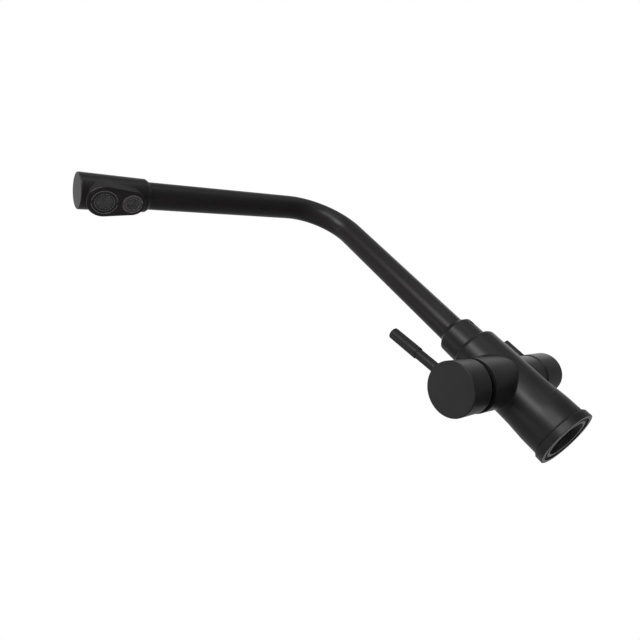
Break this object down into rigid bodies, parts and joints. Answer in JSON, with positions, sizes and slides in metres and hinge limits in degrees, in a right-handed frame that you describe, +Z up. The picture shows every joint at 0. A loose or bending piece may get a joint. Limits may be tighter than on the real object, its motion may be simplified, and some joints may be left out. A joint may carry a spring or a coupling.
{
  "type": "kitchen faucet",
  "caption": "Matte black deck-mounted kitchen faucet with a swivel angled spout, a single-lever mixer on one side and a separate filtered-water tap on the other.",
  "frame": {"origin": "centre of the base on the worktop plane", "axes": "+Z up the body, +X along the axis of the mixer handle away from the body, so the filtered-water tap is on the -X side. At rest the spout points almost along +X, turned 4.61 degrees towards -Y, as in the picture."},
  "size_m": [0.2978, 0.0553, 0.3175],
  "materials": {
    "black_body": "brass casting with a matte black powder coat",
    "black_spout": "brass tube and head with a matte black powder coat",
    "black_handle": "zinc alloy with a matte black powder coat",
    "black_aerator": "moulded black",
    "grey_screen": "moulded dark grey",
    "black_rubber": "moulded",
    "brass": "machined",
    "steel": "machined",
    "zinc": "die cast",
    "white_plastic": "moulded",
    "water_tube": "extruded",
    "ceramic": "lapped alumina"
  },
  "bodies": {
    "root": {"mixer_body": "black_body", "base_ring": "black_body", "base_gasket": "black_rubber", "spout_spigot": "brass", "spigot_o_rings": "black_rubber", "slip_ring": "white_plastic", "filter_nipple": "brass", "nipple_o_ring": "black_rubber", "cartridge_seals": "black_rubber", "cartridge_base": "white_plastic", "fixed_disc": "ceramic", "cartridge_shell": "white_plastic", "cartridge_nut": "brass", "filter_base_seal": "black_rubber", "filter_fixed_disc": "ceramic", "filter_headwork": "brass", "headwork_washer": "black_rubber"},
    "spout": {"spout_collar": "black_spout", "collar_set_screw": "steel", "spout_tube": "black_spout", "filtered_water_tube": "water_tube", "spout_head": "black_spout", "main_aerator_ring": "black_aerator", "main_aerator_insert": "grey_screen", "main_aerator_washer": "black_rubber", "filter_aerator_ring": "grey_screen", "filter_aerator_insert": "grey_screen", "filter_aerator_washer": "black_rubber"},
    "mixer_rotor": {"cartridge_rotor": "white_plastic", "pivot_pin": "steel"},
    "mixer_handle": {"cartridge_stem": "zinc", "mixer_cap": "black_handle", "cap_grub_screw": "steel", "lever_rod": "black_handle", "lever_grip": "black_handle"},
    "disc_slider": {"moving_disc": "ceramic", "disc_carrier": "white_plastic"},
    "filter_handle": {"filter_spindle": "brass", "filter_moving_disc": "ceramic", "spindle_o_rings": "black_rubber", "spindle_clip": "steel", "filter_knob": "black_handle", "knob_grub_screw": "steel", "filter_lever": "black_handle"}
  },
  "joints": [
    {"name": "spout_swivel", "type": "hinge", "parent": "root", "child": "spout", "pos_m": [0, 0, 0.10175], "axis": [0, 0, 1], "continuous": true},
    {"name": "temperature_turn", "type": "hinge", "parent": "root", "child": "mixer_rotor", "pos_m": [0.037, 0, 0.05545], "axis": [1, 0, 0], "range_deg": [-52.25, 37.75]},
    {"name": "flow_tilt", "type": "hinge", "parent": "mixer_rotor", "child": "mixer_handle", "pos_m": [0.037, 0, 0.05545], "axis": [0, 0.992, 0.1262], "range_deg": [0, 16]},
    {"name": "disc_travel", "type": "slide", "parent": "mixer_rotor", "child": "disc_slider", "axis": [0, -0.1262, 0.992], "range_m": [0, 0.00325]},
    {"name": "filter_turn", "type": "hinge", "parent": "root", "child": "filter_handle", "pos_m": [-0.055, 0, 0.05545], "axis": [1, 0, 0], "range_deg": [0, 90]}
  ],
  "couplings": [
    {"joint": "disc_travel", "follows": "flow_tilt", "m_per_rad": 0.0115}
  ]
}
